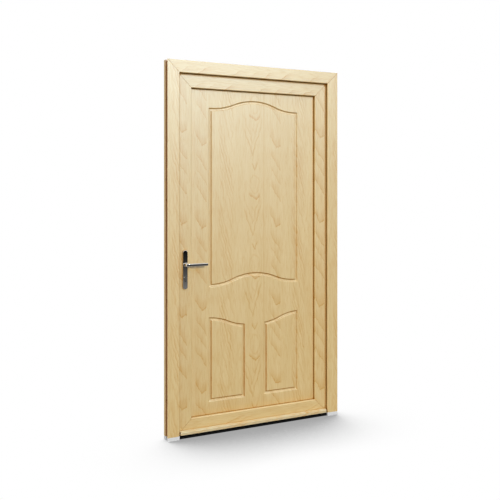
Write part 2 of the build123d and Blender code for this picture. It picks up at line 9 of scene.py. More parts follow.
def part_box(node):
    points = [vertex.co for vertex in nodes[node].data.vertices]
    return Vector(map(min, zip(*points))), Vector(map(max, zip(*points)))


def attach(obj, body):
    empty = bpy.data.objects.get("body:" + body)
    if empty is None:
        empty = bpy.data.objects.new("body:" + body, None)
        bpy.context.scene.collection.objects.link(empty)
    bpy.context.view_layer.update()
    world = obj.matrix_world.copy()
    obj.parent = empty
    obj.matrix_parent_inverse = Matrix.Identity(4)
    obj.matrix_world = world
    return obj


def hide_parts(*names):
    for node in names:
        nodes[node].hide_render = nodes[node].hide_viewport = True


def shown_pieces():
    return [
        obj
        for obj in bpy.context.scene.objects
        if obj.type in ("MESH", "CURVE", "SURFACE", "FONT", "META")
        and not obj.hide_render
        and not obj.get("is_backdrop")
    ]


# A maple-foiled PVC entrance door in a white studio. Metres, X right seen from outside, Y inwards, Z up.
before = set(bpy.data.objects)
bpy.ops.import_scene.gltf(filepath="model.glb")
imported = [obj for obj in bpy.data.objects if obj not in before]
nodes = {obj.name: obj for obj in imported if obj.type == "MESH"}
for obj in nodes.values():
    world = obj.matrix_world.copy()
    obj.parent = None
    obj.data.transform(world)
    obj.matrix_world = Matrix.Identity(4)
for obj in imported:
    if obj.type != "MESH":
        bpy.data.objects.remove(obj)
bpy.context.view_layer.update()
print("frame loaded:", len(nodes), "nodes")

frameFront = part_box("lock_jamb")[0].y
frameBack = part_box("lock_jamb")[1].y
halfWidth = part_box("hinge_jamb")[1].x
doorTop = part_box("frame_head")[1].z
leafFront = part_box("lock_stile")[0].y
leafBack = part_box("lock_stile")[1].y
leafHalf = -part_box("lock_faceplate")[0].x


# Meshes worked out as whole arrays
meshing = {"weld": 2e-6, "sliver": 1e-6, "sharpAngle": 35}


def ringFaces(rows, columns):
    # quads between neighbouring rows of a grid whose columns close into a ring
    row = np.arange(rows - 1)[:, None]
    column = np.arange(columns)[None, :]
    after = (column + 1) % columns
    quads = [row * columns + column, row * columns + after,
             (row + 1) * columns + after, (row + 1) * columns + column]
    return np.stack(quads, axis=-1).reshape(-1, 4).tolist()


def ringShell(rows):
    # shell from an array of rings, shape (rows, columns, 3)
    rows = np.asarray(rows)
    return rows.reshape(-1, 3), ringFaces(rows.shape[0], rows.shape[1])


def flatShell(loops):
    # flat face bounded by the first loop, with the other loops as holes in it
    faces = tessellate_polygon([loop.tolist() for loop in loops])
    return np.concatenate(loops), [tuple(face) for face in faces]


def atDepth(outline, y):
    # outline points in X and Z, stood upright at one depth
    return np.stack([outline[:, 0], np.full(len(outline), y), outline[:, 1]], axis=1)


def newMesh(name, points, faces):
    mesh = bpy.data.meshes.new(name)
    mesh.from_pydata(points, [], faces)
    return mesh


def show(name, data):
    obj = bpy.data.objects.new(name, data)
    bpy.context.scene.collection.objects.link(obj)
    return obj


def addPiece(name, shells, material, body, replaced=(), sharpAngle=meshing["sharpAngle"]):
    points, faces, start = [], [], 0
    for shellPoints, shellFaces in shells:
        points.append(shellPoints)
        faces += [[start + corner for corner in face] for face in shellFaces]
        start += len(shellPoints)
    mesh = newMesh(name, np.concatenate(points).tolist(), faces)
    work = bmesh.new()
    work.from_mesh(mesh)
    bmesh.ops.remove_doubles(work, verts=work.verts, dist=meshing["weld"])
    bmesh.ops.dissolve_degenerate(work, edges=work.edges, dist=meshing["sliver"])
    bmesh.ops.recalc_face_normals(work, faces=work.faces)
    work.to_mesh(mesh)
    work.free()
    mesh.polygons.foreach_set("use_smooth", np.ones(len(mesh.polygons), dtype=bool))
    mesh.set_sharp_from_angle(angle=math.radians(sharpAngle))
    mesh.materials.append(material)
    piece = show(name, mesh)
    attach(piece, body)
    if replaced:
        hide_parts(*replaced)


# Shader nodes

def feed(tree, node, inputs):
    # an input takes a value or another node's socket
    for key, value in inputs.items():
        if isinstance(value, bpy.types.NodeSocket):
            tree.links.new(value, node.inputs[key])
        else:
            node.inputs[key].default_value = value


def put(tree, kind, inputs=None, **settings):
    # one node with its settings and inputs
    node = tree.nodes.new(kind)
    for key, value in settings.items():
        setattr(node, key, value)
    feed(tree, node, inputs or {})
    return node


def calc(tree, operation, *values):
    return put(tree, "ShaderNodeMath", dict(enumerate(values)), operation=operation).outputs[0]


def stretch(tree, vector, scale):
    return put(tree, "ShaderNodeVectorMath", {0: vector, 1: scale}, operation="MULTIPLY").outputs[0]


def axes(tree, vector):
    return put(tree, "ShaderNodeSeparateXYZ", {0: vector}).outputs


def objectPlace(tree):
    return put(tree, "ShaderNodeTexCoord").outputs["Object"]


def openness(tree, samples, **inputs):
    return put(tree, "ShaderNodeAmbientOcclusion", inputs, samples=samples).outputs["AO"]


def noise(tree, vector, scale, detail=2.0, roughness=0.5, distortion=0.0):
    inputs = {"Vector": vector, "Scale": scale, "Detail": detail,
              "Roughness": roughness, "Distortion": distortion}
    return put(tree, "ShaderNodeTexNoise", inputs).outputs["Fac"]


def remap(tree, value, low, high, newLow=0.0, newHigh=1.0):
    inputs = {"Value": value, "From Min": low, "From Max": high, "To Min": newLow, "To Max": newHigh}
    return put(tree, "ShaderNodeMapRange", inputs).outputs["Result"]


def largest(tree, first, *others):
    for value in others:
        first = calc(tree, "MAXIMUM", first, value)
    return first


def centred(tree, value, amount):
    # a value between 0 and 1 as a shift to both sides of 0
    return calc(tree, "MULTIPLY_ADD", value, amount, -amount / 2)


def within(tree, value, low, high):
    return calc(tree, "MULTIPLY", calc(tree, "GREATER_THAN", value, low),
                calc(tree, "LESS_THAN", value, high))


def mixColour(tree, factor, first, second, blend="MIX"):
    inputs = {0: factor, 6: first, 7: second}
    return put(tree, "ShaderNodeMix", inputs, data_type="RGBA", blend_type=blend).outputs[2]


def srgb(red, green, blue):
    # screen colour, 0 to 255, as linear light
    value = np.array([red, green, blue]) / 255
    linear = np.where(value <= 0.04045, value / 12.92, ((value + 0.055) / 1.055) ** 2.4)
    return (*linear.tolist(), 1.0)


def newGroup(name, inputs, outputs):
    tree = bpy.data.node_groups.new(name, "ShaderNodeTree")
    for socketName, socketType in inputs:
        tree.interface.new_socket(socketName, in_out="INPUT", socket_type=socketType)
    for socketName in outputs:
        tree.interface.new_socket(socketName, in_out="OUTPUT", socket_type="NodeSocketFloat")
    return tree, tree.nodes.new("NodeGroupInput"), tree.nodes.new("NodeGroupOutput")


def useGroup(tree, group, inputs):
    return put(tree, "ShaderNodeGroup", inputs, node_tree=group).outputs


def newMaterial(name, **shaderValues):
    material = bpy.data.materials.new(name)
    material.use_nodes = True
    shader = material.node_tree.nodes["Principled BSDF"]
    feed(material.node_tree, shader, {key.replace("_", " "): value for key, value in shaderValues.items()})
    return material, material.node_tree, shader


def bumpInto(tree, shader, height, strength, distance):
    bump = put(tree, "ShaderNodeBump", {"Height": height, "Strength": strength, "Distance": distance})
    feed(tree, shader, {"Normal": bump.outputs["Normal"]})


# Maple figure of the foil: one print that repeats, grain along Z, planks side by side across X.
# Each set of lines falls to its middle by the left slope and rises past it by the right one.
# The noises are drawn out along the grain, and a level is how dark a mark is.
maple = {
    "width": 0.4775,  # the print repeats across the grain
    "length": 0.468,  # and along it
    "depthShare": 0.8,  # how far depth slides the print, so that edges have grain too
    "slow": {"along": 0.35, "scale": 12.0, "detail": 1.0},
    "slowShift": 0.03,
    "ragged": {"along": 0.5, "scale": 150.0, "detail": 2.0},
    "raggedShift": 0.02,
    "sway": {"along": 0.75, "scale": 30.0, "detail": 1.0},
    "swayShift": 0.022,
    "lineRise": 0.005,  # share of a length over which a line darkens
    "bodyLevel": 0.42,  # of the shade above a line
    "lineSets": [
        {"middle": 0.4775, "slopes": (1.45, 0.0), "span": (0.404, 0.4775), "soft": (0.02, 0.0005),
         "lines": [(0.331, 1.0), (0.547, 0.75), (0.716, 0.9)], "body": 0.014, "fade": 0.13},
        {"middle": 0.4495, "slopes": (1.63, 0.5), "span": (0.400, 0.4775), "soft": (0.02, 0.0005),
         "lines": [(0.012, 1.2)], "body": 0.016, "fade": 0.14},
        {"middle": 0.310, "slopes": (0.75, 0.75), "span": (0.265, 0.342), "soft": (0.008, 0.008),
         "lines": [(0.346, 1.3)], "body": 0.016, "fade": 0.05},
        {"middle": 0.292, "slopes": (2.9, 3.3), "span": (0.230, 0.352), "soft": (0.015, 0.015),
         "lines": [(0.043, 0.5), (0.889, 0.95)], "body": 0.026, "fade": 0.07},
        {"middle": 0.305, "slopes": (1.6, 2.2), "span": (0.284, 0.326), "soft": (0.006, 0.006),
         "lines": [(0.180, 0.4), (0.727, 1.2)], "body": 0.018, "fade": 0.05},
        {"middle": 0.175, "slopes": (3.7, 0.0), "span": (0.070, 0.175), "soft": (0.02, 0.02),
         "lines": [(0.05, 0.35), (0.16, 0.5), (0.30, 0.8), (0.42, 0.75), (0.55, 0.5), (0.86, 0.5)],
         "body": 0.04, "fade": 0.09},
    ],
    "eyeMiddle": (0.305, 0.257),
    "eyeRadii": (0.029, 0.055),
    "eyeLine": 0.16,  # half width of its outline, as a share of the radii
    "eyeLevel": 0.32,
    "veinShift": 0.016,
    "veinAlong": 0.05,
    "veins": {"scale": 120.0, "detail": 1.5, "roughness": 0.5, "distortion": 0.2},
    "veinThinness": 14.0,
    "veinLevel": 0.5,
    "joint": 0.365,  # a dark line between two planks
    "jointEdge": (0.0035, 0.001),
    "jointLevel": 0.5,
    "smudges": {"along": 0.45, "scale": 19.0, "detail": 3.0, "roughness": 0.65},
    "smudgeSpan": (0.58, 0.82),
    "smudgeLevel": 0.35,
    "fibre": {"along": 0.02, "scale": 420.0, "detail": 2.0, "roughness": 0.6},
    "specks": {"along": 0.06, "scale": 900.0, "detail": 1.0},
    "poreSpan": (0.62, 0.72),
    "tone": {"across": 1.6, "along": 0.22, "scale": 8.0, "detail": 2.0},
    "toneSpan": (0.25, 0.75),
}


def drawnOut(tree, vector, along, scale, detail, roughness=0.5, across=1.0):
    return noise(tree, stretch(tree, vector, (across, across, along)), scale, detail, roughness)


def ramp(tree, value, stops):
    node = put(tree, "ShaderNodeValToRGB", {"Fac": value})
    elements = node.color_ramp.elements
    while len(elements) < len(stops):
        elements.new(0.5)
    for element, (place, level) in zip(elements, stops):
        element.position = place
        element.color = (level, level, level, 1.0)
    return node.outputs["Color"]


def growthLines(lines, body, fade):
    # nothing below each line, dark along it, then a paler shade that fades upwards
    stops = [(0.0, 0.0)]
    for place, level in sorted(lines):
        stops += [(place - maple["lineRise"], 0.0), (place, level),
                  (place + body, maple["bodyLevel"] * level), (place + fade, 0.0)]
    return stops


def makeMapleGroup():
    tree, given, result = newGroup("mapleFigure", [("Vector", "NodeSocketVector")],
                                   ["Figure", "Tone", "Fibre", "Pores"])
    vector = given.outputs["Vector"]
    part = axes(tree, vector)
    along = part["Z"]
    across = calc(tree, "MULTIPLY_ADD", part["Y"], maple["depthShare"], part["X"])
    inTile = calc(tree, "FLOORED_MODULO", across, maple["width"])
    slow = drawnOut(tree, vector, **maple["slow"])
    ragged = drawnOut(tree, vector, **maple["ragged"])
    wander = calc(tree, "ADD", centred(tree, slow, maple["slowShift"]),
                  centred(tree, ragged, maple["raggedShift"]))
    wandered = calc(tree, "ADD", along, wander)
    sway = drawnOut(tree, vector, **maple["sway"])
    swayed = calc(tree, "ADD", inTile, centred(tree, sway, maple["swayShift"]))

    # sets of growth lines, each within its own strip of the print
    figure = 0.0
    for lineSet in maple["lineSets"]:
        beside = calc(tree, "SUBTRACT", swayed, lineSet["middle"])
        left, right = lineSet["slopes"]
        rise = largest(tree, calc(tree, "MULTIPLY", beside, -left), calc(tree, "MULTIPLY", beside, right))
        turns = calc(tree, "DIVIDE", calc(tree, "SUBTRACT", wandered, rise), maple["length"])
        lines = ramp(tree, calc(tree, "FLOORED_MODULO", turns, 1.0),
                     growthLines(lineSet["lines"], lineSet["body"], lineSet["fade"]))
        (low, high), (softLow, softHigh) = lineSet["span"], lineSet["soft"]
        strip = calc(tree, "MULTIPLY", remap(tree, inTile, low, low + softLow),
                     remap(tree, inTile, high, high - softHigh))
        figure = calc(tree, "MULTIPLY_ADD", strip, lines, figure)

    # an oval eye below the arrowheads
    inLength = calc(tree, "FLOORED_MODULO", wandered, maple["length"])
    offsets = [calc(tree, "DIVIDE", calc(tree, "SUBTRACT", value, middle), radius)
               for value, middle, radius in zip((swayed, inLength), maple["eyeMiddle"], maple["eyeRadii"])]
    alongSquared = calc(tree, "POWER", offsets[1], 2.0)
    eye = calc(tree, "SQRT", calc(tree, "MULTIPLY_ADD", offsets[0], offsets[0], alongSquared))
    eyeLine = remap(tree, calc(tree, "ABSOLUTE", calc(tree, "SUBTRACT", eye, 1.0)), maple["eyeLine"], 0.0)
    figure = calc(tree, "MULTIPLY_ADD", eyeLine, maple["eyeLevel"], figure)

    # fine veins: the ridge lines of a noise drawn out along the grain, swaying from side to side
    veinPlace = put(tree, "ShaderNodeCombineXYZ", {
        "X": calc(tree, "MULTIPLY_ADD", sway, maple["veinShift"], across),
        "Z": calc(tree, "MULTIPLY", along, maple["veinAlong"])}).outputs[0]
    veins = noise(tree, veinPlace, **maple["veins"])
    slope = calc(tree, "ABSOLUTE", calc(tree, "MULTIPLY_ADD", veins, 2.0, -1.0))
    ridge = calc(tree, "POWER", calc(tree, "SUBTRACT", 1.0, slope), maple["veinThinness"])
    figure = calc(tree, "MULTIPLY_ADD", ridge, maple["veinLevel"], figure)
    fromJoint = calc(tree, "ABSOLUTE", calc(tree, "SUBTRACT", inTile, maple["joint"]))
    joint = remap(tree, fromJoint, *maple["jointEdge"])
    figure = calc(tree, "MULTIPLY_ADD", joint, maple["jointLevel"], figure)
    smudges = remap(tree, drawnOut(tree, vector, **maple["smudges"]), *maple["smudgeSpan"])
    figure = calc(tree, "MULTIPLY_ADD", smudges, maple["smudgeLevel"], figure)
    feed(tree, result, {
        "Figure": figure,
        "Tone": remap(tree, drawnOut(tree, vector, **maple["tone"]), *maple["toneSpan"]),
        "Fibre": drawnOut(tree, vector, **maple["fibre"]),
        "Pores": remap(tree, drawnOut(tree, vector, **maple["specks"]), *maple["poreSpan"])})
    return tree


# Soft unevenness of moulded, cast and painted surfaces
moulded = {
    "fineDetail": 3.0,
    "cloud": {"scale": 14.0, "detail": 3.0, "roughness": 0.6},
    "bumpDistance": 0.0003,
}


def makeGrainGroup():
    inputs = [("Vector", "NodeSocketVector"), ("Size", "NodeSocketFloat")]
    tree, given, result = newGroup("mouldedGrain", inputs, ["Fine", "Cloud"])
    vector = given.outputs["Vector"]
    fineScale = calc(tree, "DIVIDE", 1.0, given.outputs["Size"])
    feed(tree, result, {"Fine": noise(tree, vector, fineScale, moulded["fineDetail"]),
                        "Cloud": noise(tree, vector, **moulded["cloud"])})
    return tree


mapleGroup = makeMapleGroup()
grainGroup = makeGrainGroup()

# Bare brown PVC shows where the foil ends: distances into the frame and the leaf
core = {
    "channelDepth": 0.0065,  # of the channel on the frame's wall side
    "channelSpan": (0.0028, 0.0352),  # behind the frame's front
    "rebateInset": 0.0495,  # from the frame's outside to its rebate
    "rebateSpan": (0.0125, 0.001),  # behind the frame's front and ahead of its back
    "edgeDepth": 0.0035,  # of the leaf's edges
    "edgeTop": 0.0655,  # below the top of the door
    "edgeSpan": (0.001, 0.0125),  # behind the leaf's front and ahead of its back
    "light": srgb(187, 140, 90),
    "shade": 0.82,  # of the light colour, in clouds
    "grainSize": 0.0012,
    "rougher": 0.12,
    "bareShadeCut": 0.7,  # bare PVC takes less of the painted corner shade
}


def frameCore(tree, place):
    # channel on the wall side, and the rebate
    x = calc(tree, "ABSOLUTE", place["X"])
    wallSide = largest(tree, calc(tree, "GREATER_THAN", x, halfWidth - core["channelDepth"]),
                       calc(tree, "GREATER_THAN", place["Z"], doorTop - core["channelDepth"]))
    front, back = core["channelSpan"]
    wall = calc(tree, "MULTIPLY", wallSide, within(tree, place["Y"], frameFront + front, frameFront + back))
    rebateSide = calc(tree, "MULTIPLY", calc(tree, "LESS_THAN", x, halfWidth - core["rebateInset"]),
                      calc(tree, "LESS_THAN", place["Z"], doorTop - core["rebateInset"]))
    front, back = core["rebateSpan"]
    rebate = calc(tree, "MULTIPLY", rebateSide,
                  within(tree, place["Y"], frameFront + front, frameBack - back))
    return largest(tree, wall, rebate)


def leafCore(tree, place):
    # edges of the leaf between its front and its overlap
    x = calc(tree, "ABSOLUTE", place["X"])
    edge = largest(tree, calc(tree, "GREATER_THAN", x, leafHalf - core["edgeDepth"]),
                   calc(tree, "GREATER_THAN", place["Z"], doorTop - core["edgeTop"]))
    front, back = core["edgeSpan"]
    return calc(tree, "MULTIPLY", edge, within(tree, place["Y"], leafFront + front, leafBack - back))


# Foil: printed colours, with painted shade where two faces meet
foil = {
    "light": srgb(221, 195, 137),
    "deep": srgb(215, 186, 125),
    "barPaintedPale": srgb(211, 198, 157),  # weather bar: the foil painted paler and cooler, to offset the warm light that the wood above throws on it
    "barPaintedDeep": srgb(205, 188, 145),
    "line": srgb(200, 150, 66),
    "pore": srgb(198, 156, 88),
    "figureStrength": 0.78,
    "fibreSpan": (0.35, 0.75),
    "fibreStrength": 0.22,
    "poreStrength": 0.35,
    "printSize": 1.1,  # on the frame and the leaf, 1 on the panel and the trims
    "specular": 0.5,
    "dulledBy": 0.4,  # painted shade at which no gloss is left
    "roughness": 0.46,
    "fibreRoughness": 0.10,
    "bump": 0.12,
    "bumpDistance": 0.0002,
    "poreDepth": 0.6,  # against the height of the fibres
    "creviceShade": (0.60, 0.31, 0.07, 1),  # multiplies the colour where painted shade falls in corners
    "creviceShadeReach": 0.022,
    "creviceShadeSamples": 8,
    "creviceShadeSpan": (0.86, 0.48),  # openness where the painted shade starts and where it is darkest
    "seamShadeReach": 0.0025,  # mitres and other tight seams, darkened as joint lines and as painted shade
    "seamShadeSamples": 6,
    "seamShadeSpan": (0.85, 0.65),
    "seamShade": 1.0,
}
# Painted shade on the panel: on groove flanks that face left or down, and at the panel's foot
grooves = {
    "floor": 0.0045,  # deeper than this is the floor
    "unshadedTilt": (0.2, 0.5),  # how far a face turns from facing outwards
    "flankTilt": (-0.25, -0.55),
    "heights": (1.8, 0.25),  # upper and lower
    "leftShade": (0.35, 0.75),  # painted shade of flanks that face left, at those heights
    "downShade": (0.34, 1.0),  # and of those that face down
    "fadeSpan": (0.10, 0.28),  # the left ones fade towards the right edge
    "faded": 0.3,
    "footSpan": (0.10, 0.025),  # heights above the panel's lower edge
    "footShade": 0.12,
}


def groovePaintedShade(tree, place, creviceShade):
    # painted shade: groove floors and flanks turned sideways or up lose the corner shade; flanks that face
    # left or down get an even painted shade, which grows lower down; the foot of the panel gets a little
    # painted shade too
    faces = axes(tree, put(tree, "ShaderNodeTexCoord").outputs["Normal"])
    panelLow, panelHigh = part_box("door_panel")
    onFloor = within(tree, place["Y"], panelLow.y + grooves["floor"], panelHigh.y - grooves["floor"])
    turned = largest(tree, calc(tree, "ABSOLUTE", faces["X"]), faces["Z"])
    unshaded = largest(tree, onFloor, remap(tree, turned, *grooves["unshadedTilt"]))
    left, down = [calc(tree, "MULTIPLY", remap(tree, faces[axis], *grooves["flankTilt"]),
                       remap(tree, place["Z"], *grooves["heights"], *paintedShade))
                  for axis, paintedShade in (("X", grooves["leftShade"]), ("Z", grooves["downShade"]))]
    left = calc(tree, "MULTIPLY", left,
                remap(tree, place["X"], *grooves["fadeSpan"], 1.0, grooves["faded"]))
    footTop, footLow = grooves["footSpan"]
    foot = remap(tree, place["Z"], panelLow.z + footTop, panelLow.z + footLow, 0.0, grooves["footShade"])
    elsewhere = calc(tree, "MULTIPLY", creviceShade, calc(tree, "SUBTRACT", 1.0, unshaded))
    return largest(tree, elsewhere, left, down, foot)


def makeFoil(name, level, shift, bareWhere=None, size=1.0, paintedShade=1.0, reach=foil["creviceShadeReach"],
             grooved=False, light=foil["light"], deep=foil["deep"]):
    # foil with its grain upright or level, its print enlarged by size and slid by shift
    material, tree, shader = newMaterial(name, Specular_IOR_Level=foil["specular"])
    place = objectPlace(tree)
    turn = (0.0, math.radians(-90), 0.0) if level else (0.0, 0.0, 0.0)
    vector = put(tree, "ShaderNodeMapping", {"Vector": place, "Location": shift, "Rotation": turn,
                                             "Scale": (1 / size, 1 / size, 1 / size)}).outputs[0]
    figure = useGroup(tree, mapleGroup, {"Vector": vector})
    colour = mixColour(tree, figure["Tone"], light, deep)
    darker = calc(tree, "MULTIPLY_ADD", remap(tree, figure["Fibre"], *foil["fibreSpan"]),
                  foil["fibreStrength"], figure["Figure"])
    darker = calc(tree, "MULTIPLY", darker, foil["figureStrength"])
    colour = mixColour(tree, darker, colour, foil["line"])
    pores = calc(tree, "MULTIPLY", figure["Pores"], foil["poreStrength"])
    colour = mixColour(tree, pores, colour, foil["pore"])
    roughness = calc(tree, "MULTIPLY_ADD", figure["Fibre"], foil["fibreRoughness"], foil["roughness"])
    # how much painted shade falls in the corners of this foil
    cornerShade = paintedShade
    if bareWhere:
        grain = useGroup(tree, grainGroup, {"Vector": place, "Size": core["grainSize"]})
        bare = bareWhere(tree, axes(tree, place))
        shade = [core["shade"] * channel for channel in core["light"][:3]] + [1]
        colour = mixColour(tree, bare, colour, mixColour(tree, grain["Cloud"], core["light"], shade))
        roughness = calc(tree, "MULTIPLY_ADD", bare, core["rougher"], roughness)
        cornerShade = calc(tree, "MULTIPLY_ADD", bare, -core["bareShadeCut"] * paintedShade, paintedShade)
    # painted shade: corners, grooves and seams are darker and browner, and duller
    creviceShade = remap(tree, openness(tree, foil["creviceShadeSamples"], Distance=reach),
                    *foil["creviceShadeSpan"], 0.0, cornerShade)
    seam = remap(tree, openness(tree, foil["seamShadeSamples"], Distance=foil["seamShadeReach"]),
                 *foil["seamShadeSpan"], 0.0, foil["seamShade"])
    creviceShade = largest(tree, creviceShade, seam)
    if grooved:
        creviceShade = groovePaintedShade(tree, axes(tree, place), creviceShade)
    shadedColour = mixColour(tree, creviceShade, colour, foil["creviceShade"], "MULTIPLY")
    specular = remap(tree, creviceShade, 0.0, foil["dulledBy"], foil["specular"], 0.0)
    feed(tree, shader, {"Base Color": shadedColour, "Specular IOR Level": specular, "Roughness": roughness})
    height = calc(tree, "MULTIPLY_ADD", figure["Pores"], -foil["poreDepth"], figure["Fibre"])
    bumpInto(tree, shader, height, foil["bump"], foil["bumpDistance"])
    return material


def makePlain(name, light, dark, roughness, grainSize, bump, metallic=0.0, specular=0.5, spread=0.1):
    # one finish: two near colours in soft clouds, fine unevenness in gloss and height
    material, tree, shader = newMaterial(name, Metallic=metallic, Specular_IOR_Level=specular)
    grain = useGroup(tree, grainGroup, {"Vector": objectPlace(tree), "Size": grainSize})
    rough = calc(tree, "MULTIPLY_ADD", grain["Fine"], spread, roughness - spread / 2)
    feed(tree, shader, {"Base Color": mixColour(tree, grain["Cloud"], light, dark), "Roughness": rough})
    bumpInto(tree, shader, grain["Fine"], bump, moulded["bumpDistance"])
    return material


brushed = {
    "lineStretch": 0.02,
    "lineScale": 1500.0,
    "cloudScale": 25.0,
    "cloudDetail": 3.0,
    "lineShare": 0.6,  # of the change in colour, the clouds have the rest
    "spread": 0.14,  # of the roughness
    "bump": 0.08,
    "bumpDistance": 0.0001,
}


def makeBrushed(name, light, dark, roughness, along):
    # metal with fine lines along one axis
    material, tree, shader = newMaterial(name, Metallic=1.0)
    place = objectPlace(tree)
    scale = [1.0, 1.0, 1.0]
    scale[along] = brushed["lineStretch"]
    streaks = noise(tree, stretch(tree, place, scale), brushed["lineScale"])
    cloud = noise(tree, place, brushed["cloudScale"], brushed["cloudDetail"])
    darker = calc(tree, "MULTIPLY_ADD", streaks, brushed["lineShare"],
                  calc(tree, "MULTIPLY", cloud, 1 - brushed["lineShare"]))
    spread = brushed["spread"]
    rough = calc(tree, "MULTIPLY_ADD", streaks, spread, roughness - spread / 2)
    feed(tree, shader, {"Base Color": mixColour(tree, darker, light, dark), "Roughness": rough})
    bumpInto(tree, shader, streaks, brushed["bump"], brushed["bumpDistance"])
    return material


larger = foil["printSize"]
foilJamb = makeFoil("foil_jamb", False, (0.1025, 0.0, 0.0), frameCore, larger)
foilHead = makeFoil("foil_head", True, (0.403, 0.0, 0.35), frameCore, larger)
foilLockStile = makeFoil("foil_lock_stile", False, (0.3973, 0.0, 0.3311), leafCore, larger, paintedShade=0.35)
foilHingeStile = makeFoil("foil_hinge_stile", False, (0.0603, 0.0, 0.3311), leafCore, larger)
foilTopRail = makeFoil("foil_top_rail", True, (0.31, 0.0, 0.2), leafCore, larger)
foilBottomRail = makeFoil("foil_bottom_rail", True, (0.31, 0.0, 0.2), leafCore, larger,
                          paintedShade=0.8, reach=0.014)
foilPanel = makeFoil("foil_panel", False, (0.295, 0.0, 0.2466), reach=0.010, grooved=True)
foilTrimUpright = makeFoil("foil_trim_upright", False, (0.2, 0.0, 0.3))
foilTrimLevel = makeFoil("foil_trim_level", True, (0.15, 0.0, 0.1), paintedShade=0.2, reach=0.008)
# the weather bar's foil has painted pale colours that offset the warm light on it
foilBarPainted = makeFoil("foil_weather_bar_painted_pale", True, (0.15, 0.0, 0.1), paintedShade=0.2, reach=0.008,
                   light=foil["barPaintedPale"], deep=foil["barPaintedDeep"])
# name, two colours, roughness, size of the grain and its bump
sealRubber = makePlain("brown_rubber", srgb(56, 30, 8), srgb(42, 22, 6), 0.66, 0.0006, 0.25, specular=0.05)
blackPlastic = makePlain("black_plastic", srgb(9, 9, 9), srgb(6, 6, 6), 0.55, 0.0009, 0.2, specular=0.1)
whitePlastic = makePlain("white_plastic", srgb(228, 228, 227), srgb(219, 219, 218), 0.42, 0.0014, 0.1)
brownPaint = makePlain("brown_paint", srgb(98, 64, 38), srgb(86, 55, 32), 0.4, 0.0016, 0.35)
handleMetal = makePlain("chrome", srgb(226, 224, 220), srgb(214, 212, 208), 0.05, 0.0008, 0.02,
                        metallic=1.0, spread=0.02)
keyDark = makePlain("key_slot", srgb(22, 21, 20), srgb(14, 13, 13), 0.6, 0.0006, 0.1)
# name, two colours, roughness and the axis of the lines
nickel = makeBrushed("nickel", srgb(186, 182, 174), srgb(160, 156, 148), 0.22, 0)
steel = makeBrushed("steel", srgb(176, 178, 180), srgb(146, 148, 150), 0.34, 2)
aluminium = makeBrushed("aluminium", srgb(196, 197, 199), srgb(172, 173, 175), 0.36, 0)
print("materials ready")

finishes = {
    foilJamb: ["lock_jamb", "hinge_jamb"],
    foilHead: ["frame_head"],
    foilLockStile: ["lock_stile"],
    foilHingeStile: ["hinge_stile"],
    foilTopRail: ["top_rail"],
    foilBottomRail: ["bottom_rail"],
    foilPanel: ["door_panel"],
    foilTrimUpright: ["lock_side_bead", "hinge_side_bead"],
    foilTrimLevel: ["top_bead", "bottom_bead"],
    foilBarPainted: ["weather_bar", "weather_bar_caps"],
    sealRubber: ["frame_gasket", "leaf_gasket", "outer_panel_gasket", "inner_panel_gasket", "threshold_seal"],
    blackPlastic: ["threshold"],
    whitePlastic: ["lock_side_foot", "hinge_side_foot"],
    aluminium: ["threshold_tread"],
    steel: ["lock_faceplate", "latch_bolt", "dead_bolt", "upper_hook_bolt", "lower_hook_bolt", "latch_strike",
            "upper_strike", "lower_strike", "handle_spindle", "hinge_pins"],
    brownPaint: [f"{level}_hinge_{half}_half"
                 for level in ("bottom", "middle", "top") for half in ("frame", "leaf")],
    handleMetal: ["outer_handle_plate", "inner_handle_plate", "outer_lever", "inner_lever"],
    nickel: ["lock_cylinder"],
}
for material, names in finishes.items():
    for name in names:
        mesh = nodes[name].data
        mesh.materials.clear()
        mesh.materials.append(material)
print("finishes on", sum(len(names) for names in finishes.values()), "nodes")


# Routed panel: both faces, with soft-lipped grooves
panel = {
    "fieldHalf": 0.290,
    "fieldTop": 1.848,
    "fieldSill": 0.826,
    "archRise": 0.053,
    "archShoulder": 0.022,
    "lowerBottom": 0.175,
    "lowerTop": 0.655,
    "lowerDrop": 0.054,
    "lowerInner": 0.0625,
    "curvePast": 0.004,  # the small fields' curve starts past their outer edge
    "dropPast": 0.0275,  # and would end past their inner edge
    "grooveWidth": 0.019,
    "grooveDepth": 0.006,
    "flank": 0.0058,
    "softness": 0.6,  # 0 sharp, 1 fully rounded
    "flatMargin": 0.0014,
    "archPoints": 121,
    "curvePoints": 61,
    "flankRings": 10,
    "cornerSteps": (0.01, 0.03, 0.5, 0.97, 0.99),  # points of a straight side, gathered at its corners
}


def ogeeHeight(x, start, end, inset):
    # two equal arcs, level at both ends, moved down by an inset: height at x on the circle of the nearer arc
    rise = end[1] - start[1]
    turn = np.sign(rise)
    halfRun = abs(end[0] - start[0]) / 2
    radius = (halfRun ** 2 + (rise / 2) ** 2) / abs(rise)
    centres = np.array([[start[0], start[1] + turn * radius], [end[0], end[1] - turn * radius]])
    radii = (radius + turn * inset, radius - turn * inset)
    span = (centres[1] - centres[0]) / np.linalg.norm(centres[1] - centres[0])
    change = centres[0, 0] + span[0] * radii[0]
    first = centres[0, 1] - turn * np.sqrt(np.maximum(radii[0] ** 2 - (x - centres[0, 0]) ** 2, 0))
    last = centres[1, 1] + turn * np.sqrt(np.maximum(radii[1] ** 2 - (x - centres[1, 0]) ** 2, 0))
    return np.where(x < change, first, last)


def archHeight(x, level, inset):
    # level at the shoulders, rising to the middle
    shoulder = panel["fieldHalf"] - panel["archShoulder"]
    nearer = -np.minimum(np.abs(x), shoulder)
    return ogeeHeight(nearer, (-shoulder, level), (0.0, level + panel["archRise"]), inset)


def straightRun(start, end):
    return start + (end - start) * np.array(panel["cornerSteps"])[:, None]


def upperRing(inset):
    side = panel["fieldHalf"] - inset
    x = np.linspace(-side, side, panel["archPoints"])
    top = np.stack([x, archHeight(x, panel["fieldTop"], inset)], axis=1)
    sill = np.stack([x, archHeight(x, panel["fieldSill"], -inset)], axis=1)[::-1]
    return np.concatenate([top, straightRun(top[-1], sill[0]), sill, straightRun(sill[-1], top[0])])


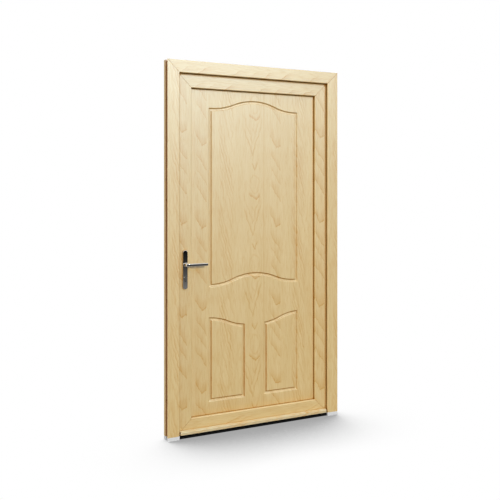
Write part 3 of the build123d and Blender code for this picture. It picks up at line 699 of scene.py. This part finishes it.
def lowerRing(inset):
    outer = -panel["fieldHalf"] + inset
    inner = -panel["lowerInner"] - inset
    start = (-panel["fieldHalf"] - panel["curvePast"], panel["lowerTop"])
    end = (-panel["lowerInner"] + panel["dropPast"], panel["lowerTop"] - panel["lowerDrop"])
    x = np.linspace(outer, inner, panel["curvePoints"])
    top = np.stack([x, ogeeHeight(x, start, end, inset)], axis=1)
    floor = panel["lowerBottom"] + inset
    low = np.array([[inner, floor], [outer, floor]])
    return np.concatenate([top, straightRun(top[-1], low[0]), low[:1], straightRun(low[0], low[1]),
                           low[1:], straightRun(low[1], top[0])])


def grooveDepth(inset):
    # rises from both lips to the floor: a straight ramp less part of a sine, so that its ends are rounded
    fromLip = np.clip(np.minimum(inset, panel["grooveWidth"] - inset) / panel["flank"], 0, 1)
    rounded = fromLip - panel["softness"] * np.sin(2 * np.pi * fromLip) / (2 * np.pi)
    return panel["grooveDepth"] * rounded


def fieldShells(ring, place):
    # groove as rings from its outer lip to its inner lip, and the flat field inside
    flankSteps = np.linspace(0, panel["flank"], panel["flankRings"])
    insets = np.concatenate([[-panel["flatMargin"]], flankSteps, panel["grooveWidth"] - flankSteps[::-1],
                             [panel["grooveWidth"] + panel["flatMargin"]]])
    rows = [place(ring(inset), grooveDepth(inset)) for inset in insets]
    return [ringShell(rows), flatShell([rows[-1]])], rows[0]


def panelFace(surface, inwards, low, high):
    def place(outline, depth):
        return atDepth(outline, surface + inwards * depth)

    def mirroredRing(inset):
        return lowerRing(inset) * (-1, 1)

    shells, holes = [], []
    for ring in (upperRing, lowerRing, mirroredRing):
        fieldParts, hole = fieldShells(ring, place)
        shells += fieldParts
        holes.append(hole)
    corners = np.array([[low.x, low.z], [high.x, low.z], [high.x, high.z], [low.x, high.z]])
    border = place(corners, 0.0)
    return shells + [flatShell([border] + holes)], border


def makePanel():
    low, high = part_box("door_panel")
    front, frontBorder = panelFace(low.y, 1, low, high)
    back, backBorder = panelFace(high.y, -1, low, high)
    edge = ringShell([frontBorder, backBorder])
    addPiece("routed_panel", front + back + [edge], foilPanel, "leaf", ["door_panel"])


makePanel()
print("panel routed")


# Handle: a long narrow plate with soft edges, and a lever on each side
plate = {
    "edgeRadius": 0.0022,
    "edgeRings": 9,
    "sideRise": 0.0004,  # first ring above the leaf
    "cornerRadius": 0.0125,
    "collarHole": 0.0113,
    "holePlay": 0.0003,
}
lever = {
    "x": -0.443,
    "z": 0.965,
    "neckThickness": 0.0160,
    "neckHeight": 0.0165,
    "neckStart": 0.004,  # above the leaf's face
    "neckEnd": 0.001,  # before the bend
    "armThickness": 0.0110,
    "tipThickness": 0.0082,
    "tipHeight": 0.0150,
    "armDepth": 0.044,  # from the leaf's face to the arm's middle
    "bend": 0.016,
    "reach": 0.123,
    "tipRound": 0.005,
    "tipClosed": 1e-4,  # square of the share of the section left at the very end
    "neckSquareness": 4.5,  # 2 is an oval, more is squarer
    "armSquareness": 9.0,
    "topSquareness": 3.0,  # the arm's upper half is rounder
    "bendRings": 14,
    "armRings": 12,
    "tipRings": 8,
    "sectionPoints": 40,
    "collarRadius": 0.011,
    "collarHeight": 0.0135,
    "collarRadii": (1.0, 1.0, 0.985, 0.94, 0.80),  # shares of the radius
    "collarRises": (-0.013, -0.0012, -0.0004, 0.0, 0.0002),  # from its height
    "sharpAngle": 50,
}
cylinder = {"z": 0.893, "radius": 0.0085, "web": 0.010, "total": 0.033, "proud": 0.014,
            "headPoints": 40, "footPoints": 14}


def roundedOutline(halfX, halfZ, radius, count=14):
    # four quarter circles, one at each corner
    angles = np.linspace(0, np.pi / 2, count)
    quarters = []
    for quarter, (sideX, sideZ) in enumerate([(1, 1), (-1, 1), (-1, -1), (1, -1)]):
        turned = angles + quarter * np.pi / 2
        x = sideX * (halfX - radius) + radius * np.cos(turned)
        z = sideZ * (halfZ - radius) + radius * np.sin(turned)
        quarters.append(np.stack([x, z], axis=1))
    return np.concatenate(quarters)


def circleOutline(radius, count=48):
    angles = np.linspace(0, 2 * np.pi, count, endpoint=False)
    return radius * np.stack([np.cos(angles), np.sin(angles)], axis=1)


def cylinderOutline(grow):
    # round head above, straight web below with a round end
    radius = cylinder["radius"] + grow
    web = cylinder["web"] / 2 + grow
    foot = cylinder["radius"] - cylinder["total"] + web - grow
    start = math.asin(web / radius)
    head = np.linspace(-np.pi / 2 + start, 1.5 * np.pi - start, cylinder["headPoints"])
    end = np.linspace(np.pi, 2 * np.pi, cylinder["footPoints"])
    upper = radius * np.stack([np.cos(head), np.sin(head)], axis=1)
    lower = np.stack([web * np.cos(end), foot + web * np.sin(end)], axis=1)
    return np.concatenate([upper, lower])


def leafFace(outward):
    return leafFront if outward < 0 else leafBack


def onLeaf(outward):
    # puts outline points at a rise above the leaf's outer or inner face
    def place(outline, rise):
        return atDepth(outline, leafFace(outward) + outward * rise)
    return place


def makePlate(name, outward):
    low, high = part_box(name)
    middle = np.array([(low.x + high.x) / 2, (low.z + high.z) / 2])
    halfX, halfZ, thickness = (high.x - low.x) / 2, (high.z - low.z) / 2, high.y - low.y
    place = onLeaf(outward)
    edge = plate["edgeRadius"]
    angles = np.linspace(0, np.pi / 2, plate["edgeRings"])
    insets = np.concatenate([[0.0, 0.0], edge * (1 - np.cos(angles))])
    rises = np.concatenate([[0.0, plate["sideRise"]], thickness - edge + edge * np.sin(angles)])
    rows = []
    for inset, rise in zip(insets, rises):
        outline = roundedOutline(halfX - inset, halfZ - inset, plate["cornerRadius"] - inset)
        rows.append(place(outline + middle, rise))
    holes = [circleOutline(plate["collarHole"]) + (lever["x"], lever["z"]),
             cylinderOutline(plate["holePlay"]) + (lever["x"], cylinder["z"])]
    shells = [ringShell(rows)]
    for level, rise in ((rows[-1], thickness), (rows[0], 0.0)):
        shells.append(flatShell([level] + [place(hole, rise) for hole in holes]))
    shells += [ringShell([place(hole, 0.0), place(hole, thickness)]) for hole in holes]
    addPiece("soft_" + name, shells, handleMetal, "leaf", [name])


def leverPath():
    # middle of the section: along a neck, a quarter bend, an arm and its rounded tip; with its angle and
    # how far the tip has closed
    bend, depth, tipRound = lever["bend"], lever["armDepth"], lever["tipRound"]
    armLength = lever["reach"] - bend
    turn = np.linspace(0, np.pi / 2, lever["bendRings"])
    neck = np.array([lever["neckStart"], depth - bend - lever["neckEnd"]])
    arm = np.linspace(0, armLength - tipRound, lever["armRings"])[1:]
    tipAngle = np.linspace(0, np.pi / 2, lever["tipRings"])[1:]
    tip = armLength - tipRound + tipRound * np.sin(tipAngle)
    straight = len(arm) + len(tip)
    outX = np.concatenate([np.zeros(2), bend - bend * np.cos(turn), bend + arm, bend + tip])
    outY = np.concatenate([neck, depth - bend + bend * np.sin(turn), np.full(straight, depth)])
    angle = np.concatenate([np.zeros(2), turn, np.full(straight, np.pi / 2)])
    closed = np.sqrt(np.maximum(np.cos(tipAngle), lever["tipClosed"]))
    closing = np.concatenate([np.ones(len(outX) - len(tip)), closed])
    return outX, outY, angle, closing


def makeLever(name, outward):
    # squared oval, its half axes changing from the neck to the arm and along the arm, carried along the path
    outX, outY, angle, closing = leverPath()
    taper = np.clip((outX - lever["bend"]) / (lever["reach"] - lever["bend"]), 0, 1)
    bent = angle / (np.pi / 2)
    thick = lever["neckThickness"] + (lever["armThickness"] - lever["neckThickness"]) * bent
    thick = (thick + (lever["tipThickness"] - lever["armThickness"]) * taper) / 2 * closing
    tall = (lever["neckHeight"] + (lever["tipHeight"] - lever["neckHeight"]) * taper) / 2 * closing
    around = np.linspace(0, 2 * np.pi, lever["sectionPoints"], endpoint=False)
    armSquareness = np.where(np.sin(around) > 0, lever["topSquareness"], lever["armSquareness"])
    squareness = lever["neckSquareness"] + (armSquareness - lever["neckSquareness"]) * bent[:, None]
    across = np.sign(np.cos(around)) * np.abs(np.cos(around)) ** (2 / squareness)
    up = np.sign(np.sin(around)) * np.abs(np.sin(around)) ** (2 / squareness)
    x = lever["x"] + outX[:, None] + np.cos(angle)[:, None] * thick[:, None] * across
    rise = outY[:, None] - np.sin(angle)[:, None] * thick[:, None] * across
    z = lever["z"] + tall[:, None] * up
    rows = np.stack([x, leafFace(outward) + outward * rise, z], axis=2)
    place = onLeaf(outward)
    collar = [place(circleOutline(lever["collarRadius"] * share) + (lever["x"], lever["z"]),
                    lever["collarHeight"] + above)
              for share, above in zip(lever["collarRadii"], lever["collarRises"])]
    shells = [ringShell(rows), flatShell([rows[0]]), flatShell([rows[-1]]),
              ringShell(collar), flatShell([collar[0]]), flatShell([collar[-1]])]
    addPiece("soft_" + name, shells, handleMetal, "lever", [name], lever["sharpAngle"])


for side, outward in (("outer", -1), ("inner", 1)):
    makePlate(side + "_handle_plate", outward)
    makeLever(side + "_lever", outward)


# Key plug in each end of the cylinder, with its slot
plug = {
    "radius": 0.0066,
    "rise": 0.0007,
    "rings": ((1.0, -0.5), (1.0, 0.6), (0.96, 0.9), (0.90, 1.0)),  # shares of the radius and of the rise
    "points": 40,
    "slotHalf": 0.0042,
    "slotWidth": 0.0013,
    "slotPoints": 25,
    "slotRise": 0.00006,
    "slotDepth": 0.0002,
    "wave": 0.0005,  # the slot winds from side to side
    "waveTurn": 4.5,  # angle at its ends
}


def makePlug(side, outward):
    place = onLeaf(outward)
    middle = np.array([lever["x"], cylinder["z"]])
    rows = [place(circleOutline(plug["radius"] * share, plug["points"]) + middle,
                  cylinder["proud"] + plug["rise"] * height) for share, height in plug["rings"]]
    shells = [ringShell(rows), flatShell([rows[-1]]), flatShell([rows[0]])]
    addPiece(side + "_key_plug", shells, nickel, "leaf")
    down = np.linspace(plug["slotHalf"], -plug["slotHalf"], plug["slotPoints"])
    wave = plug["wave"] * np.sin(down / plug["slotHalf"] * plug["waveTurn"])
    half = plug["slotWidth"] / 2
    outline = np.concatenate([np.stack([wave + half, down], axis=1),
                              np.stack([wave - half, down], axis=1)[::-1]])
    top = cylinder["proud"] + plug["rise"] + plug["slotRise"]
    rows = [place(outline + middle, top - plug["slotDepth"]), place(outline + middle, top)]
    shells = [ringShell(rows), flatShell([rows[0]]), flatShell([rows[-1]])]
    addPiece(side + "_key_slot", shells, keyDark, "leaf")


for side, outward in (("outer", -1), ("inner", 1)):
    makePlug(side, outward)
print("handles and cylinder made")


# Screws in the strikes, the lock strip, the hinges and the inner plate
screw = {
    "radius": 0.0042,
    "rise": 0.0007,
    "crossArm": 0.0023,
    "crossWidth": 0.0006,
    "crossDepth": 0.0012,
    "rings": 14,
    "innerRing": 0.02,  # share of the radius
    "spokes": 48,
    "sharpAngle": 30,
    "strikeInset": 0.012,  # from the ends of what they hold
    "stripInset": 0.03,
    "stripCount": 9,
    "hingeInset": 0.013,
    "hingeThickness": 0.005,
    "plateInset": 0.02,
}


def screwShell(middle, outward, sideways):
    # low dome on a polar grid, less a cross-shaped recess
    outward, sideways = np.array(outward, float), np.array(sideways, float)
    upright = np.cross(outward, sideways)
    radius = screw["radius"] * np.linspace(1, screw["innerRing"], screw["rings"])[:, None]
    angle = np.linspace(0, 2 * np.pi, screw["spokes"], endpoint=False)[None, :]
    a, b = radius * np.cos(angle), radius * np.sin(angle)
    shorter, longer = np.minimum(abs(a), abs(b)), np.maximum(abs(a), abs(b))
    inCross = (shorter < screw["crossWidth"]) & (longer < screw["crossArm"])
    height = screw["rise"] * (1 - (radius / screw["radius"]) ** 2) - screw["crossDepth"] * inCross
    points = np.array(middle) + a[..., None] * sideways + b[..., None] * upright + height[..., None] * outward
    return [ringShell(points), flatShell([points[-1]])]


def makeScrews():
    frameScrews, leafScrews = [], []
    inset = screw["strikeInset"]
    for name in ("latch_strike", "upper_strike", "lower_strike"):
        low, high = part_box(name)
        for z in (low.z + inset, high.z - inset):
            frameScrews += screwShell((high.x, (low.y + high.y) / 2, z), (1, 0, 0), (0, 1, 0))
    low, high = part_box("lock_faceplate")
    inset = screw["stripInset"]
    for z in np.linspace(low.z + inset, high.z - inset, screw["stripCount"]):
        leafScrews += screwShell((low.x, (low.y + high.y) / 2, z), (-1, 0, 0), (0, 1, 0))
    inset = screw["hingeInset"]
    for level in ("bottom", "middle", "top"):
        low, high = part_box(level + "_hinge_leaf_half")
        for z in (low.z + inset, high.z - inset):
            middle = (low.x + inset, leafBack + screw["hingeThickness"], z)
            leafScrews += screwShell(middle, (0, 1, 0), (1, 0, 0))
    low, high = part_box("inner_handle_plate")
    inset = screw["plateInset"]
    for z in (high.z - inset, low.z + inset):
        leafScrews += screwShell((lever["x"], high.y, z), (0, 1, 0), (1, 0, 0))
    addPiece("strike_screws", frameScrews, steel, "frame", (), screw["sharpAngle"])
    addPiece("leaf_screws", leafScrews, steel, "leaf", (), screw["sharpAngle"])


makeScrews()
print("screws set")


# Camera, floor and light
camera = {
    "place": (-1.84562, -3.71528, 1.37786),
    "turn": math.radians(-26.0),
    "lens": 51.04,
    "shiftY": -0.1192,
}
ground = {
    "size": 60.0,
    "tone": 0.10,  # for the light that the floor sends back
    "darkest": 0.375,  # shown where the object meets the floor
    "shadowReach": 0.60,
    "shadowSamples": 16,
    "shadowLean": (0.0, 0.75, 0.66),
    "shadowStrength": 1.35,
    "shadowPower": 1.7,
}
sky = {"top": 0.62, "side": 0.42}
white = (1.0, 1.0, 1.0)
suns = {  # direction, strength, angle in degrees and colour
    "key": ((0.06, 0.96, -0.25), 1.66, 9.0, white),
    "top": ((-0.02, 0.07, -0.997), 0.78, 8.0, (0.82, 0.98, 1.2)),
    "fill": ((0.97, 0.14, -0.20), 0.82, 20.0, white),
    "side": ((-0.95, -0.14, -0.28), 1.1, 20.0, white),
    "back": ((-0.15, -0.94, -0.30), 1.6, 20.0, white),
}
sheen = {
    "place": (1.02, -4.61, 4.05),
    "aim": (0.0, 0.0, 1.4),
    "size": (4.0, 1.7),
    "power": 1230.0,
    "colour": (0.72, 0.92, 1.0),
}
# Painted reflections for the metal: a glowing sheet and black cards
cards = {
    "spread": 16.0,
    "near": -0.3,
    "low": 0.004,
    "high": 4.4,
    "glow": 0.16,  # of the lying card at its even distance, brighter nearer
    "even": 6.5,
    "falloff": 0.5,
    "brightest": 0.22,
}


def makeCamera():
    data = bpy.data.cameras.new("camera")
    data.lens = camera["lens"]
    data.shift_y = camera["shiftY"]
    view = show("camera", data)
    view.location = camera["place"]
    view.rotation_euler = (math.radians(90), 0.0, camera["turn"])
    bpy.context.scene.camera = view


def seenDirectly(tree):
    # camera, mirror and glass rays see the white studio
    rays = put(tree, "ShaderNodeLightPath").outputs
    return largest(tree, rays["Is Camera Ray"], rays["Is Glossy Ray"], rays["Is Transmission Ray"])


def makeFloor():
    half = ground["size"] / 2
    corners = [(-half, -half, 0), (half, -half, 0), (half, half, 0), (-half, half, 0)]
    mesh = newMesh("floor", corners, [(0, 1, 2, 3)])
    material = bpy.data.materials.new("floor")
    material.use_nodes = True
    tree = material.node_tree
    tree.nodes.clear()
    tone = ground["tone"]
    lit = put(tree, "ShaderNodeBsdfDiffuse", {"Color": (tone, tone, tone, 1)})
    # a shadow that leans away from the light, from how much the object covers the floor
    lean = put(tree, "ShaderNodeCombineXYZ", dict(zip("XYZ", ground["shadowLean"]))).outputs[0]
    lean = put(tree, "ShaderNodeVectorMath", {0: lean}, operation="NORMALIZE").outputs[0]
    bare = openness(tree, ground["shadowSamples"], Distance=ground["shadowReach"], Normal=lean)
    covered = calc(tree, "POWER", calc(tree, "SUBTRACT", 1.0, bare), ground["shadowPower"])
    glow = calc(tree, "MULTIPLY_ADD", covered, -ground["shadowStrength"], 1.0)
    glow = largest(tree, glow, ground["darkest"])
    shown = put(tree, "ShaderNodeEmission", {"Strength": glow})
    both = put(tree, "ShaderNodeMixShader", {0: seenDirectly(tree), 1: lit.outputs[0], 2: shown.outputs[0]})
    put(tree, "ShaderNodeOutputMaterial", {"Surface": both.outputs[0]})
    mesh.materials.append(material)
    floor = show("floor", mesh)
    floor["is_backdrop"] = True


def makeWorld():
    world = bpy.data.worlds.new("studio")
    bpy.context.scene.world = world
    world.use_nodes = True
    tree = world.node_tree
    tree.nodes.clear()
    upward = axes(tree, put(tree, "ShaderNodeTexCoord").outputs["Generated"])["Z"]
    light = remap(tree, upward, 0.0, 1.0, sky["side"], sky["top"])
    seen = seenDirectly(tree)
    unseen = calc(tree, "SUBTRACT", 1.0, seen)
    strength = calc(tree, "ADD", seen, calc(tree, "MULTIPLY", light, unseen))
    back = put(tree, "ShaderNodeBackground", {"Color": (*white, 1), "Strength": strength})
    put(tree, "ShaderNodeOutputWorld", {"Surface": back.outputs[0]})


def aimed(direction):
    return Vector(direction).to_track_quat("-Z", "Y").to_euler()


def makeLights():
    for name, (direction, strength, angle, colour) in suns.items():
        light = bpy.data.lights.new(name, "SUN")
        light.energy = strength
        light.color = colour
        light.angle = math.radians(angle)
        show(name, light).rotation_euler = aimed(direction)


def makeSheen():
    # a lamp that shows only as gloss, and only on the foil
    light = bpy.data.lights.new("sheen", "AREA")
    light.shape = "RECTANGLE"
    light.size, light.size_y = sheen["size"]
    light.energy = sheen["power"]
    light.color = sheen["colour"]
    lamp = show("sheen", light)
    lamp.location = sheen["place"]
    lamp.rotation_euler = aimed(Vector(sheen["aim"]) - Vector(sheen["place"]))
    lamp.visible_diffuse = False
    lamp.visible_camera = False
    foiled = bpy.data.collections.new("foiled")
    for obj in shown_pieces():
        if any(slot.material and slot.material.name.startswith("foil") for slot in obj.material_slots):
            foiled.objects.link(obj)
    lamp.light_linking.receiver_collection = foiled


def makeCards():
    # painted reflections: a sheet on the floor that glows, darker away from the door, and black cards round
    # it, seen only in the metal
    spread, near, low, high = cards["spread"], cards["near"], cards["low"], cards["high"]
    corners = [(-spread, near), (-spread, -spread), (spread, -spread), (spread, near)]
    lying = [(x, y, low) for x, y in corners]
    standing = [(x, y, z) for x, y in corners[:3] for z in (low, high)]
    for name, points, faces in (("floorCard", lying, [(0, 1, 2, 3)]),
                                ("blackCard", standing, [(0, 2, 3, 1), (2, 4, 5, 3)])):
        mesh = newMesh(name, points, faces)
        material, tree, shader = newMaterial(name, Base_Color=(0, 0, 0, 1), Specular_IOR_Level=0.0,
                                             Emission_Color=(*white, 1), Emission_Strength=0.0)
        if name == "floorCard":
            length = put(tree, "ShaderNodeVectorMath", {0: objectPlace(tree)}, operation="LENGTH")
            away = length.outputs["Value"]
            nearer = calc(tree, "MULTIPLY", calc(tree, "SUBTRACT", cards["even"], away), cards["falloff"])
            glow = calc(tree, "MULTIPLY", calc(tree, "EXPONENT", nearer), cards["glow"])
            glow = calc(tree, "MINIMUM", glow, cards["brightest"])
            feed(tree, shader, {"Emission Strength": glow})
        mesh.materials.append(material)
        card = show(name, mesh)
        card.visible_camera = False
        card.visible_diffuse = False
        card.visible_shadow = False
        card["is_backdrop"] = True


makeCamera()
makeFloor()
makeWorld()
makeLights()
makeSheen()
makeCards()
bpy.context.scene.view_settings.view_transform = "Standard"
print("studio lit")
